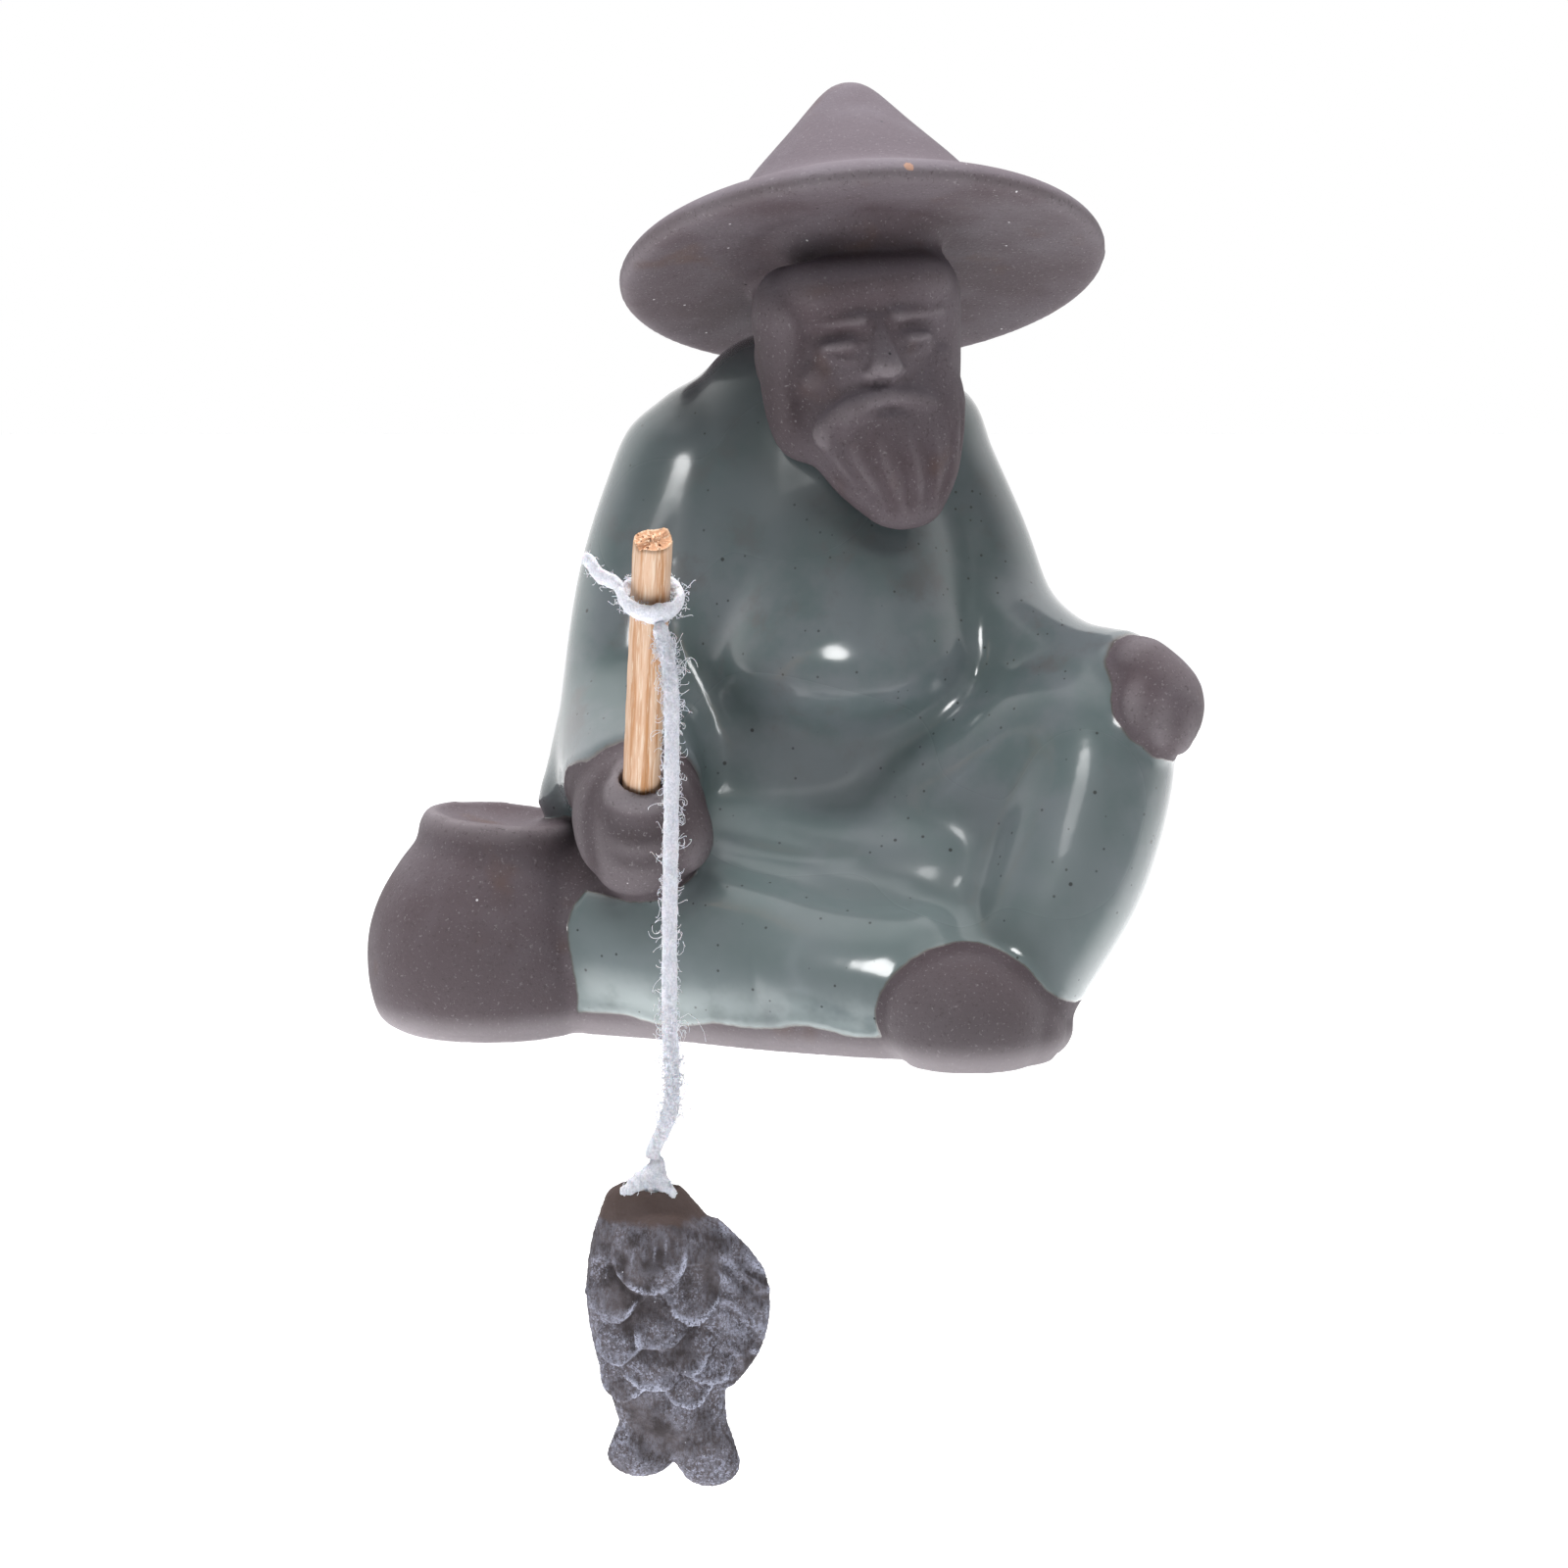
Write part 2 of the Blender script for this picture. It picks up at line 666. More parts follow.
MATT = (  # where the glaze has little gloss: place on the picture, reach, share
    ((790, 785), 6.0, 0.9),
    ((822, 804), 5.0, 0.9),
    ((872, 794), 5.0, 0.9),
    ((1105, 810), 4.0, 0.75),
    ((1085, 870), 4.0, 0.75),
    ((968, 880), 4.5, 0.7),
    ((810, 488), 5.0, 0.95),
    ((671, 536), 4.0, 0.85),
)
FIST_CREASES = (  # between the fingers, and where fist and creel meet
    (((612, 800), (600, 830), (600, 868), (612, 905)), 0.8, 0.3),
    (((622, 845), (650, 852), (690, 848)), 0.6, 0.16),
    (((624, 872), (652, 880), (692, 872)), 0.6, 0.16),
)


def creel_into(bm):
    """A round-bellied fishing basket with a narrow neck, a soft rim and a shallow dished top."""
    lean = Matrix.Rotation(math.radians(CREEL_LEAN), 4, "Y")
    belly = ((0, 0), (0.74, 0), (0.93, 0.12), (1, 0.36), (0.94, 0.56), (0.79, 0.74))
    lathe_into(bm, [
        *scaled(belly, CREEL_RADIUS, CREEL_HEIGHT),
        *scaled(((1.08, 0.85), (1.06, 0.93), (0.93, 1)), CREEL_MOUTH_RADIUS, CREEL_HEIGHT),
        (CREEL_MOUTH_RADIUS * 0.62, CREEL_HEIGHT - CREEL_DISH * 0.6),
        (0, CREEL_HEIGHT - CREEL_DISH),
    ], Matrix.Translation(CREEL_FOOT) @ lean)


def limbs_into(bm):
    """Fist, hand on the knee, and feet."""
    ball_into(bm, FIST_CENTRE, FIST_RADII)
    roll_into(bm, (
        (*(FIST_CENTRE + Vector((3.2, -1.0, -1.0))), 2.4, 3.0, 3.0),
        (*(FIST_CENTRE + Vector((1.8, -2.0, 2.0))), 2.4, 2.4, 2.4),
    ))
    roll_into(bm, (
        (26.3, -11.0, 28.0, 2.8, 2.7, 2.5), (27.8, -11.8, 25.8, 3.3, 3.1, 3.2),
        (28.2, -11.8, 24.2, 2.6, 2.7, 2.6),
    ))
    for finger in KNEE_FINGERS:
        roll_into(bm, finger)
    ball_into(bm, ROD_ROOT + ROD_DIRECTION * 0.2, (3.0, 2.6, 2.0))
    ball_into(bm, (15.6, -17.2, 2.2), (5.2, 4.6, 3.8))
    ball_into(bm, (13.2, -18.9, 3.4), (6.2, 5.4, 5.0), Matrix.Rotation(math.radians(12), 3, "Y"))
    roll_into(bm, ((16.4, -15.6, 2.0, 3.2, 3.0, 2.6), (18.9, -14.8, 1.8, 2.6, 3.0, 2.4)))


def sliced(mesh):
    """The mesh cut off flat at the seat."""
    bm = bmesh.new()
    bm.from_mesh(mesh)
    geometry = bm.verts[:] + bm.edges[:] + bm.faces[:]
    made = bmesh.ops.bisect_plane(bm, geom=geometry, plane_co=(0, 0, 0), plane_no=(0, 0, 1), clear_inner=True)
    rim = [g for g in made["geom_cut"] if isinstance(g, bmesh.types.BMEdge)]
    bmesh.ops.contextual_create(bm, geom=rim)
    bmesh.ops.recalc_face_normals(bm, faces=bm.faces)
    return mesh_of(bm, "sliced")


def drilled(mesh):
    """The mesh with the rod's hole in the fist."""
    radius = ROD_RADIUS + FIT_GAP * 0.4
    reach = ROD_SOCKET_DEPTH + max(FIST_RADII)
    bm = bmesh.new()
    place = frame_at(ROD_ROOT - ROD_DIRECTION * ROD_SOCKET_DEPTH, ROD_DIRECTION)
    lathe_into(bm, ((0, 0), (radius, 0), (radius, reach), (0, reach)), place, steps=48)
    bmesh.ops.recalc_face_normals(bm, faces=bm.faces)
    return without(mesh, mesh_of(bm, "drill"))


SLEEVE_FOOT = (Vector((-15.6, -10.0, 14.5)), 4.6, 25)  # where sleeve, fist and creel meet: reach, rounds
ROBE_SCORCH = ((FIST_CENTRE, 8.0), (Vector((12.6, -20.0, 3.0)), 8.0))  # fist and foot
BARE_SPOTS = (  # places that the glaze left out beside the bare parts: centre and reach
    ((-15.6, -10.4, 14.0), 3.0),
    ((-14.6, -10.0, 19.0), 2.0),
    ((20.4, -14.6, 1.6), 2.6),
)


def store_glaze(mesh, cloth, bare):
    """Stores how far each point lies inside the glaze, in millimetres: below 0 the clay is bare."""
    cloth_tree, bare_tree = tree_of(cloth), tree_of(bare)
    co = points_of(mesh)
    depth = np.array([
        bare_tree.find_nearest(p)[3] - cloth_tree.find_nearest(p)[3] for p in map(Vector, co)
    ])
    for centre, reach in BARE_SPOTS:
        depth -= 4.0 * bell(co, centre, reach)
    x = co[:, 0]
    foot = BARE_FOOT + 0.35 * np.sin(x * 0.31 + 1.0) + 0.2 * np.sin(x * 0.9)
    depth = np.minimum(depth, co[:, 2] - foot)
    coat = GLAZE_THICKNESS * smooth_step(depth, -0.05, 0.3)
    bead = 0.08 * np.exp(-((depth - 0.5) / 0.3) ** 2)
    reshape(mesh, co + normals_of(mesh) * (coat + bead)[:, None])
    store(mesh, "glaze", depth)


def fill_creases(mesh, rounds):
    """Glaze and slip run into the sharp creases and round them, but not into the rod's hole."""
    soft = smoothed(mesh, rounds)
    co = points_of(mesh)
    moved = points_of(soft) - co
    share = smooth_step((moved * normals_of(soft)).sum(1), 0.03, 0.15)
    for place, low, high in ((ROD_ROOT, 4.5, 6.5), (ROD_ROOT - ROD_DIRECTION * ROD_SOCKET_DEPTH, 4.0, 5.0)):
        share *= smooth_step(np.linalg.norm(co - np.array(place), axis=1), low, high)
    reshape(mesh, co + moved * share[:, None])
    bpy.data.meshes.remove(soft)


def robe_and_creel():
    bm = bmesh.new()
    for stations in ROBE:
        roll_into(bm, stations)
    cloth = merged(mesh_of(bm, "cloth"), BODY_GRAIN, 10)
    bm = bmesh.new()
    creel_into(bm)
    limbs_into(bm)
    bare = mesh_of(bm, "bare")
    bm = bmesh.new()
    bm.from_mesh(cloth)
    bm.from_mesh(bare)
    mesh = merged(mesh_of(bm, "body"), BODY_GRAIN, 1)
    soften(mesh, *SLEEVE_FOOT)
    sponge(mesh, ROUNDED)
    mesh = drilled(sliced(mesh))
    store_glaze(mesh, cloth, bare)
    fill_creases(mesh, 60)
    tree = tree_of(mesh)
    for drawn, width, depth in (*FOLDS, *FIST_CREASES):
        press(mesh, tree, drawn, width, depth)
    mesh = smoothed(mesh, 4)
    store_relief(mesh, 60)
    gloss, tree = np.ones(len(mesh.vertices)), tree_of(mesh)
    for pixel, reach, share in MATT:
        gloss *= 1 - share * bell(points_of(mesh), place_at(tree, pixel), reach)
    store(mesh, "gloss", gloss)
    store_scorch(mesh, ROBE_SCORCH)
    return mesh


# Hat, head and beard


def hat_place():
    lean = Matrix.Rotation(math.radians(-HAT_LEAN_BACK), 4, "X")
    roll = Matrix.Rotation(math.radians(HAT_ROLL), 4, "Y")
    return Matrix.Translation(HAT_CENTRE) @ roll @ lean


def hat_into(bm):
    """A shallow cone with a crease round the crown and a rolled brim."""
    crown = ((0, 1), (0.13, 0.985), (0.24, 0.93), (0.36, 0.84), (0.50, 0.73),
             (0.66, 0.61), (0.82, 0.49), (0.97, 0.37), (1.12, 0.275))
    brim = ((0.70, 0.20), (0.84, 0.12), (0.94, 0.06), (0.985, 0.015))
    under = ((1, -0.3), (0.975, -0.62), (0.91, -0.66), (0.78, -0.46), (0.58, -0.18), (0.3, 0.02), (0, 0.08))
    lathe_into(bm, [
        *scaled(crown, CROWN_RADIUS, HAT_HEIGHT),
        *scaled(brim, HAT_RADIUS, HAT_HEIGHT),
        *scaled(under, HAT_RADIUS, BRIM_THICKNESS),
    ], hat_place(), steps=160)


def head_place():
    turn = Matrix.Rotation(math.radians(HEAD_TURN), 4, "Z")
    roll = Matrix.Rotation(math.radians(-HEAD_ROLL), 4, "Y")
    return Matrix.Translation(HEAD_CENTRE) @ turn @ roll


HEAD_FORMS = (
    ((0, -7.0, 2.6, 0.8), (0, -7.9, 0.8, 0.9), (0, -8.7, -0.7, 1.25, 1.1, 0.9)),  # nose
    (  # beard
        (0.0, -2.6, -2.6, 7.4, 5.0, 3.4), (0.2, -4.0, -5.4, 6.6, 4.6, 3.4),
        (0.5, -5.6, -8.6, 5.0, 3.8, 3.0), (0.8, -6.6, -10.9, 3.2, 2.6, 2.2),
    ),
    ((-0.7, -8.0, -4.6, 0.55, 0.5, 0.45), (0.7, -8.0, -4.6, 0.55, 0.5, 0.45)),  # lower lip
    ((0, 2.5, -2.0, 6.2, 5.6, 5.0), (0, 3.2, -7.0, 5.6, 5.2, 4.0)),  # neck
    ((0, 2.2, 0.0, 6.4, 6.0, 6.0), (0, 6.0, 2.2, 6.2, 4.6, 4.6)),  # back of the head, under the hat
)
SIDE_FORMS = (  # for one side, and mirrored
    ((1.4, -7.2, 2.8, 1.0, 0.9, 0.7), (4.2, -6.0, 2.9, 1.5, 0.9, 0.7)),  # brow
    ((1.0, -8.0, -1.1, 0.7, 0.7, 0.6), (1.25, -7.8, -1.1, 0.5, 0.6, 0.5)),  # wing of the nose
    ((2.2, -6.9, 0.9, 1.0, 0.9, 0.85), (3.4, -6.5, 0.85, 1.0, 0.9, 0.8)),  # closed eye
    ((4.1, -5.2, -1.2, 2.2, 1.5, 1.8), (3.2, -5.6, -1.8, 1.8, 1.3, 1.5)),  # cheek
    (  # moustache
        (0, -7.9, -2.9, 1.1, 0.9, 0.8), (2.4, -7.5, -3.7, 1.4, 1.0, 1.0),
        (4.6, -6.3, -5.4, 1.0, 0.9, 1.3),
    ),
    (  # hair, down into the beard
        (5.4, -2.2, 3.4, 2.7, 4.6, 3.8), (5.8, -1.6, -3.0, 1.8, 3.4, 3.4),
        (5.1, -2.6, -5.4, 1.5, 2.6, 2.4),
    ),
    ((0, -4.4, 4.9, 4.0, 3.4, 2.6), (3.8, -4.2, 4.8, 3.2, 3.4, 2.6)),  # top of the head
)
EYE_STROKES = (  # line on one eye, width, depth
    (((1.3, 0.7), (2.2, 0.42), (3.2, 0.40), (4.2, 0.75)), 0.26, 0.34),
    (((1.4, 1.75), (2.6, 2.0), (4.3, 1.6)), 0.36, 0.30),
    (((1.7, -0.25), (3.0, -0.55), (4.2, -0.15)), 0.5, 0.18),
)
BEARD_STRANDS = (  # from the cheek or the lip down, in the head's own frame
    ((0.4, -5.6), (0.7, -8.0), (0.8, -11.4)),
    ((-1.9, -5.4), (-1.5, -8.2), (-0.4, -11.6)),
    ((2.6, -5.6), (2.6, -8.2), (1.9, -11.4)),
    ((-3.9, -4.6), (-3.5, -7.4), (-1.7, -10.6)),
    ((4.6, -5.6), (4.5, -8.0), (3.2, -10.8)),
    ((-5.7, -3.0), (-5.3, -6.2), (-3.3, -9.4)),
    ((6.1, -3.4), (5.9, -6.6), (4.4, -9.6)),
)
HAIR_ROUNDED = (((825, 468), 2.8, 25), ((976, 386), 2.6, 25))  # place on the picture, reach, rounds
CHIP = (927, 170)  # a knocked-off spot on the brim
LIP_STROKE = (((-1.5, -4.05), (0.0, -3.85), (1.5, -4.05)), 0.28, 0.35)
UNDER_BRIM = (HEAD_CENTRE + Vector((0, 3, 5)), 10.5, 60)  # where head and hat meet: reach, rounds
HEAD_SCORCH = ((HEAD_CENTRE + Vector((-6.5, -3.0, -3.0)), 6.0),)  # the hair on the shaded side
UNDER_HAT = (Vector((-0.2, -0.4, 8.3)), (6.6, 6.0, 2.4))  # clay under the hat: from the head's centre, radii


def head_and_hat():
    place = head_place()
    turn = place.to_3x3()
    bm = bmesh.new()
    hat_into(bm)
    ball_into(bm, HEAD_CENTRE, HEAD_RADII, turn)
    sides = [tuple((side * s[0], *s[1:]) for s in form) for form in SIDE_FORMS for side in (-1, 1)]
    for form in (*HEAD_FORMS, *sides):
        roll_into(bm, [(*(place @ Vector(s[:3])), *s[3:]) for s in form])
    lean = Matrix.Rotation(math.radians(-HAT_LEAN_BACK), 3, "X")
    ball_into(bm, HEAD_CENTRE + UNDER_HAT[0], UNDER_HAT[1], lean)
    mesh = merged(mesh_of(bm, "head"), HEAD_GRAIN, 0.55)
    soften(mesh, *UNDER_BRIM)
    sponge(mesh, HAIR_ROUNDED)
    tree = tree_of(mesh)
    look = facing(place)
    for side in (-1, 1):
        for drawn, width, depth in EYE_STROKES:
            press(mesh, tree, [(side * x, z) for x, z in drawn], width, depth, look)
    press(mesh, tree, *LIP_STROKE, look)
    for strand in BEARD_STRANDS:
        press(mesh, tree, strand, 0.42, 0.2, look)
        press(mesh, tree, [(x + 0.7, z) for x, z in strand], 0.4, -0.1, look)
    store_relief(mesh, 50)
    store(mesh, "dust", smooth_step(normals_of(mesh)[:, 2], 0.2, 0.75))
    store_scorch(mesh, HEAD_SCORCH)
    store(mesh, "chip", bell(points_of(mesh), place_at(tree, CHIP), 0.5))
    return mesh


# Rod


def rod():
    """A split bamboo stick with fine ribs, sawn a little slantwise, with a torn lip at the cut."""
    sides, rings = 96, 70
    foot = frame_at(ROD_ROOT - ROD_DIRECTION * (ROD_SOCKET_DEPTH - FIT_GAP), ROD_DIRECTION)
    length = ROD_REACH + ROD_SOCKET_DEPTH - FIT_GAP
    angles = np.arange(sides) * 2 * math.pi / sides
    ribs = sum(
        chance.uniform(0.4, 1.0) * np.sin(angles * n + chance.uniform(0, 6.3)) for n in (5, 9, 13, 17, 23, 31)
    ) * 0.012
    bm = bmesh.new()
    layers = []
    for k in range(rings + 1):
        share = k / rings
        down = length * share
        radius = (ROD_RADIUS - 0.05 + ribs + 0.015 * math.sin(down * 1.7)) * (1 if k else 0.92)
        cut = -ROD_RADIUS * math.tan(math.radians(ROD_CUT)) * (1 + np.sin(angles))
        lip = 0.32 * np.exp(-((angles - 0.9) / 0.35) ** 2) - 0.35 * np.exp(-((angles - 3.9) / 0.22) ** 2)
        top = down + (cut + lip) * smooth_step(np.full(sides, share), 0.93, 1.0)
        near_tip = smooth_step(np.full(sides, share), 0.965, 1.0)
        flare = 1 + 0.10 * np.exp(-((angles - 0.9) / 0.35) ** 2) * near_tip
        layers.append([
            bm.verts.new(foot @ Vector((r * f * math.cos(a), r * f * math.sin(a), t)))
            for a, r, t, f in zip(angles, radius, top, flare)
        ])
    for ring in range(1, 9):  # the sawn face, pitted with the ends of the fibres
        share = 1 - ring / 9
        inner = []
        for v in layers[rings]:
            local = foot.inverted() @ v.co
            dip = -0.10 - 0.16 * chance.random() * (ring > 1)
            inner.append(bm.verts.new(foot @ Vector((
                local.x * share, local.y * share, length + (local.z - length) * (0.35 + 0.65 * share) + dip,
            ))))
        layers.append(inner)
    close_rings(bm, layers)
    mesh = mesh_of(bm, "rod")
    turn = np.array(foot.to_3x3())
    local = points_of(mesh) @ turn - np.array(foot.translation) @ turn
    around = np.arctan2(local[:, 1], local[:, 0])
    store(mesh, "round_sin", np.sin(around))
    store(mesh, "round_cos", np.cos(around))
    store(mesh, "up", local[:, 2])
    face = np.zeros(len(mesh.vertices))
    face[sides * (rings + 1):] = 1
    store(mesh, "sawn", face)
    return mesh


# Yarn


def yarn(path, outward, half_width, half_thickness, swell_at=None, twist=2.3, sides=24, strands=3):
    """Twisted yarn along a path, with a groove between its strands and a slightly ragged skin."""
    bm = bmesh.new()
    rings = []
    run = 0.0
    angles = np.arange(sides) * 2 * math.pi / sides
    for i, (point, out) in enumerate(zip(path, outward)):
        along = (path[min(i + 1, len(path) - 1)] - path[max(i - 1, 0)]).normalized()
        if i:
            run += (point - path[i - 1]).length
        thin = (out - along * out.dot(along)).normalized()
        wide = along.cross(thin)
        swell = 1 + 0.03 * math.sin(run * 1.3) + 0.02 * math.sin(run * 3.1 + 1)
        if swell_at:
            swell += 0.45 * math.exp(-((point - swell_at).length / 0.9) ** 2)
        end = min(1.0, (i + 0.6) / 3, (len(path) - i - 0.4) / 3)
        turned = angles * strands / 2 - run * twist * strands / 2
        ply = 0.90 + 0.12 * np.abs(np.cos(turned)) ** 0.7
        skin = ply * swell * math.sqrt(end) + chance.normal(0, 0.025, sides)
        rings.append([
            bm.verts.new(
                point + wide * half_width * s * math.cos(a) + thin * half_thickness * s * math.sin(a)
            )
            for a, s in zip(angles, skin)
        ])
    close_rings(bm, rings)
    return mesh_of(bm, "yarn")


def loop_path(steps=150, tail_steps=26):
    top = LOOP_PITCH * LOOP_TURNS_TO_LINE
    turn = LOOP_FRAME.to_3x3()
    path, outward = [], []
    for k in range(tail_steps):
        reach = TAIL_LENGTH * (1 - k / tail_steps)
        sway = 0.12 * math.sin(reach * 2.1)
        path.append(LOOP_FRAME @ Vector((
            -LOOP_RADIUS - 0.66 * reach + sway, 0.7 * reach, top + 0.04 * reach + sway,
        )))
        outward.append(turn @ Vector((-0.7, -0.7, 0)))
    for k in range(steps + 1):
        turns = LOOP_TURNS * k / steps
        angle = math.pi + 2 * math.pi * turns
        radial = Vector((math.cos(angle), math.sin(angle), 0))
        rise = LOOP_PITCH * (LOOP_TURNS_TO_LINE - turns)
        path.append(LOOP_FRAME @ (radial * LOOP_RADIUS + Vector((0, 0, rise))))
        outward.append(turn @ radial)
    return path, outward


def line_path(count=300):
    stations = [tuple(LINE_START + Vector((across, 0, down))) for across, down in LINE_ROUTE]
    return [Vector(between(stations, (len(stations) - 1) * k / count)) for k in range(count + 1)]


HAIR_RADIUS = 0.02
HAIR_POINTS = 8
HAIR_BOW = 0.35  # how far a hair bends, as a share of its length


def hairs(name, starts, body, reach):
    """Loose fibres, as thin curled strands from each (point, direction) on the yarn."""
    curve = bpy.data.curves.new(name, "CURVE")
    curve.dimensions = "3D"
    curve.bevel_depth = HAIR_RADIUS * MM
    curve.bevel_resolution = 0
    curve.use_fill_caps = True
    for point, direction in starts:
        side = direction.cross(Vector(chance.normal(size=3))).normalized()
        other = direction.cross(side)
        length = reach * chance.gamma(2.0, 0.5)
        curl = chance.uniform(2.0, 6.5)
        spline = curve.splines.new("POLY")
        spline.points.add(HAIR_POINTS - 1)
        phase = chance.uniform(0, 6.3)
        bow = length * HAIR_BOW
        for k, target in enumerate(spline.points):
            t = k / (HAIR_POINTS - 1)
            p = point + direction * length * (t - HAIR_BOW * t * t)
            p = p + side * bow * (math.sin(curl * t + phase) - math.sin(phase))
            p = p + other * bow * 0.7 * (math.cos(curl * t + phase) - math.cos(phase))
            target.co = (*(p * MM), 1)
    made = placed(name, curve)
    curve.materials.append(YARN)
    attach(made, body)


def fuzz_along(path, radius, count, first=0.0, last=1.0):
    """Places on a path's skin, with the directions out of it."""
    starts = []
    for _ in range(count):
        i = int((first + (last - first) * chance.random()) * (len(path) - 2))
        along = (path[i + 1] - path[i]).normalized()
        out = along.cross(Vector(chance.normal(size=3))).normalized()
        starts.append((path[i] + out * radius * 0.85, (out + along * chance.normal(0, 0.5)).normalized()))
    return starts


def tuft():
    """The yarn's end, opened and pressed into the fish's mouth."""
    bm = bmesh.new()
    x, y, z = KNOT_CENTRE
    roll_into(bm, (
        (x + 0.35, y, z + 1.35, 0.5),
        (x + 0.1, y - 0.1, z + 0.6, 0.85, 0.8, 0.7),
        (x - 0.3, y - 0.2, z - 0.2, 1.5, 1.1, 0.9),
    ))
    roll_into(bm, ((x - 0.6, y - 0.6, z + 0.2, 0.9, 0.7, 0.7), (x - 1.5, y - 0.9, z - 0.6, 0.8, 0.6, 0.6)))
    roll_into(bm, ((x + 0.5, y - 0.6, z - 0.1, 0.8, 0.7, 0.6), (x + 1.3, y - 0.8, z - 0.8, 0.6, 0.6, 0.5)))
    mesh = merged(mesh_of(bm, "tuft"), 0.12, 0.12)
    co = points_of(mesh)
    ruffle = np.sin(co[:, 0] * 9 + co[:, 2] * 3) * 0.05 + chance.normal(0, 0.03, len(co))
    reshape(mesh, co + normals_of(mesh) * ruffle[:, None])
    return mesh


# Fish

FISH_BODY = (
    (
        (-0.03, 0.05, 0.23, 0.30, 0.06), (0.02, 0.20, 0.36, 0.42, 0.10),
        (0.04, 0.38, 0.41, 0.46, 0.12), (0.06, 0.56, 0.38, 0.41, 0.10),
        (0.08, 0.70, 0.32, 0.32, 0.08), (0.11, 0.80, 0.30, 0.26, 0.06),
    ),
    ((0.00, 0.82, 0.20, 0.20, 0.08), (-0.07, 0.91, 0.19, 0.17, 0.075)),
    ((0.23, 0.84, 0.20, 0.20, 0.08), (0.31, 0.94, 0.17, 0.17, 0.08)),
    (
        (0.29, 0.16, 0.12, 0.14, 0.05), (0.46, 0.33, 0.17, 0.15, 0.09),
        (0.47, 0.50, 0.15, 0.15, 0.09), (0.36, 0.64, 0.12, 0.13, 0.05),
    ),
)
SCALES = (  # across and down from the mouth's middle, and radius, as shares of width, length and width
    (-0.22, 0.336, 0.146), (0.22, 0.332, 0.160), (0.03, 0.436, 0.150), (-0.16, 0.477, 0.146),
    (0.19, 0.509, 0.154), (0.00, 0.573, 0.154), (0.33, 0.573, 0.130), (-0.15, 0.614, 0.138),
    (0.17, 0.627, 0.142),
)
SCALE_RISE = 0.55


def scale_relief(u, v):
    """Height of the scales at a place u across and v down from the mouth, in millimetres, and their chalk."""
    height = np.zeros(len(u))
    chalk = np.full(len(u), 0.35)
    open_yet = np.ones(len(u), bool)
    for across, down, radius in SCALES:
        radius = radius * FISH_WIDTH
        du, dv = u - across * FISH_WIDTH, v - down * FISH_LENGTH
        away = np.hypot(du, dv) / radius
        here = open_yet & (away < 1)
        slope = dv / radius
        lip = np.exp(-((1 - away) / 0.19) ** 2) * smooth_step(slope, -0.1, 0.5)
        height[here] = (SCALE_RISE * (0.30 + 0.70 * slope) + 0.12 * lip)[here]
        chalk[here] = (0.15 + 0.40 * slope + 0.60 * lip)[here]
        open_yet &= ~here
    return height, chalk


